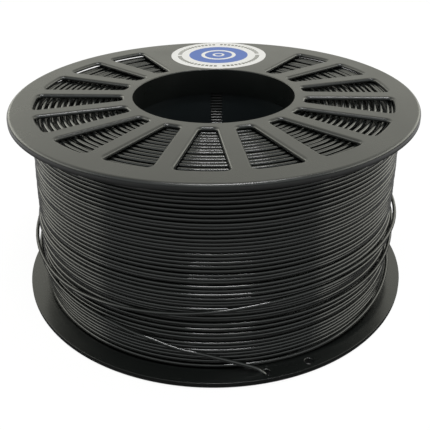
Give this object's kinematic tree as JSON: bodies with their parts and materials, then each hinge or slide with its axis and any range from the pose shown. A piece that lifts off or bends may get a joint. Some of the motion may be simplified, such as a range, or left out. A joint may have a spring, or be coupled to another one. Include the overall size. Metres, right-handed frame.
{
  "type": "filament spool",
  "caption": "Large full spool of dark filament: two flanges with a ring of windows, a slotted hub and a round label.",
  "frame": {"origin": "centre of the lower flange's outer face, on the spool's axis", "axes": "+Z along the spool's axis towards the labelled flange, +Y towards the solid sector with the label"},
  "size_m": [0.2, 0.2, 0.097],
  "materials": {
    "grey_plastic": "satin moulded polystyrene, dark olive grey",
    "black_plastic": "satin moulded, black",
    "filament": "extruded thermoplastic, black, with a soft gloss",
    "label_paper": "printed vinyl sticker, white and blue"
  },
  "bodies": {
    "root": {"upper_flange": "grey_plastic", "lower_flange": "grey_plastic", "hub_tube": "black_plastic", "filament_core": "filament", "filament_strand": "filament", "label": "label_paper"}
  },
  "joints": []
}
